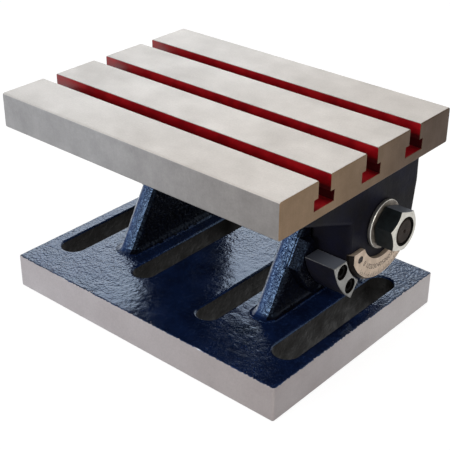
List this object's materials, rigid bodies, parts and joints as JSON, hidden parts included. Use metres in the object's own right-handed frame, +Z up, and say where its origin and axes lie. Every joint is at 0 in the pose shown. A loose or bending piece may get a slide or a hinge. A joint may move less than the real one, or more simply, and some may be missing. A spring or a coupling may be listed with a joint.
{
  "type": "tilting angle table",
  "caption": "Tilting work table with T-slots, hinged on two clamped pivots over a slotted base plate, with an angle scale.",
  "frame": {"origin": "middle of the base's underside", "axes": "+X along the T-slots towards the end with the angle scale, +Y from the table's front edge to its rear, +Z up"},
  "size_m": [0.2566, 0.1906, 0.162],
  "materials": {
    "painted_casting": "glossy navy paint over rough casting, ground bare on the sides and underside",
    "painted_block": "smooth blue-grey paint, bare machined end face",
    "black_steel": "black oxide",
    "dark_steel": "dark turned steel",
    "bright_steel": "bright steel",
    "nut_steel": "bright chamfered face, dark blued flats",
    "ground_iron": "ground plate, red paint in the T-slots, blue-grey paint on the lugs",
    "scale_metal": "matt bare metal with engraved graduations",
    "small_screw": "dull steel"
  },
  "bodies": {
    "base": {"base_casting": "painted_casting", "index_block": "painted_block", "index_screw_upper": "black_steel", "index_screw_lower": "black_steel", "pivot_bolt_right": "dark_steel", "pivot_bolt_left": "dark_steel", "head_washer_right": "bright_steel", "head_washer_left": "bright_steel", "clamp_washer_right": "bright_steel", "clamp_washer_left": "bright_steel"},
    "table": {"tilting_table": "ground_iron", "angle_scale": "scale_metal", "scale_screw_front": "small_screw", "scale_screw_rear": "small_screw"},
    "right_nut": {"clamp_nut_right": "nut_steel"},
    "left_nut": {"clamp_nut_left": "nut_steel"}
  },
  "joints": [
    {"name": "table_tilt", "type": "hinge", "parent": "base", "child": "table", "pos_m": [0, 0.0452, 0.0846], "axis": [-1, 0, 0], "range_deg": [0, 90]},
    {"name": "right_nut_turn", "type": "hinge", "parent": "base", "child": "right_nut", "pos_m": [0.1216, 0.0452, 0.0846], "axis": [1, 0, 0], "range_deg": [0, 180]},
    {"name": "left_nut_turn", "type": "hinge", "parent": "base", "child": "left_nut", "pos_m": [-0.1116, 0.0452, 0.0846], "axis": [-1, 0, 0], "range_deg": [0, 180]}
  ]
}
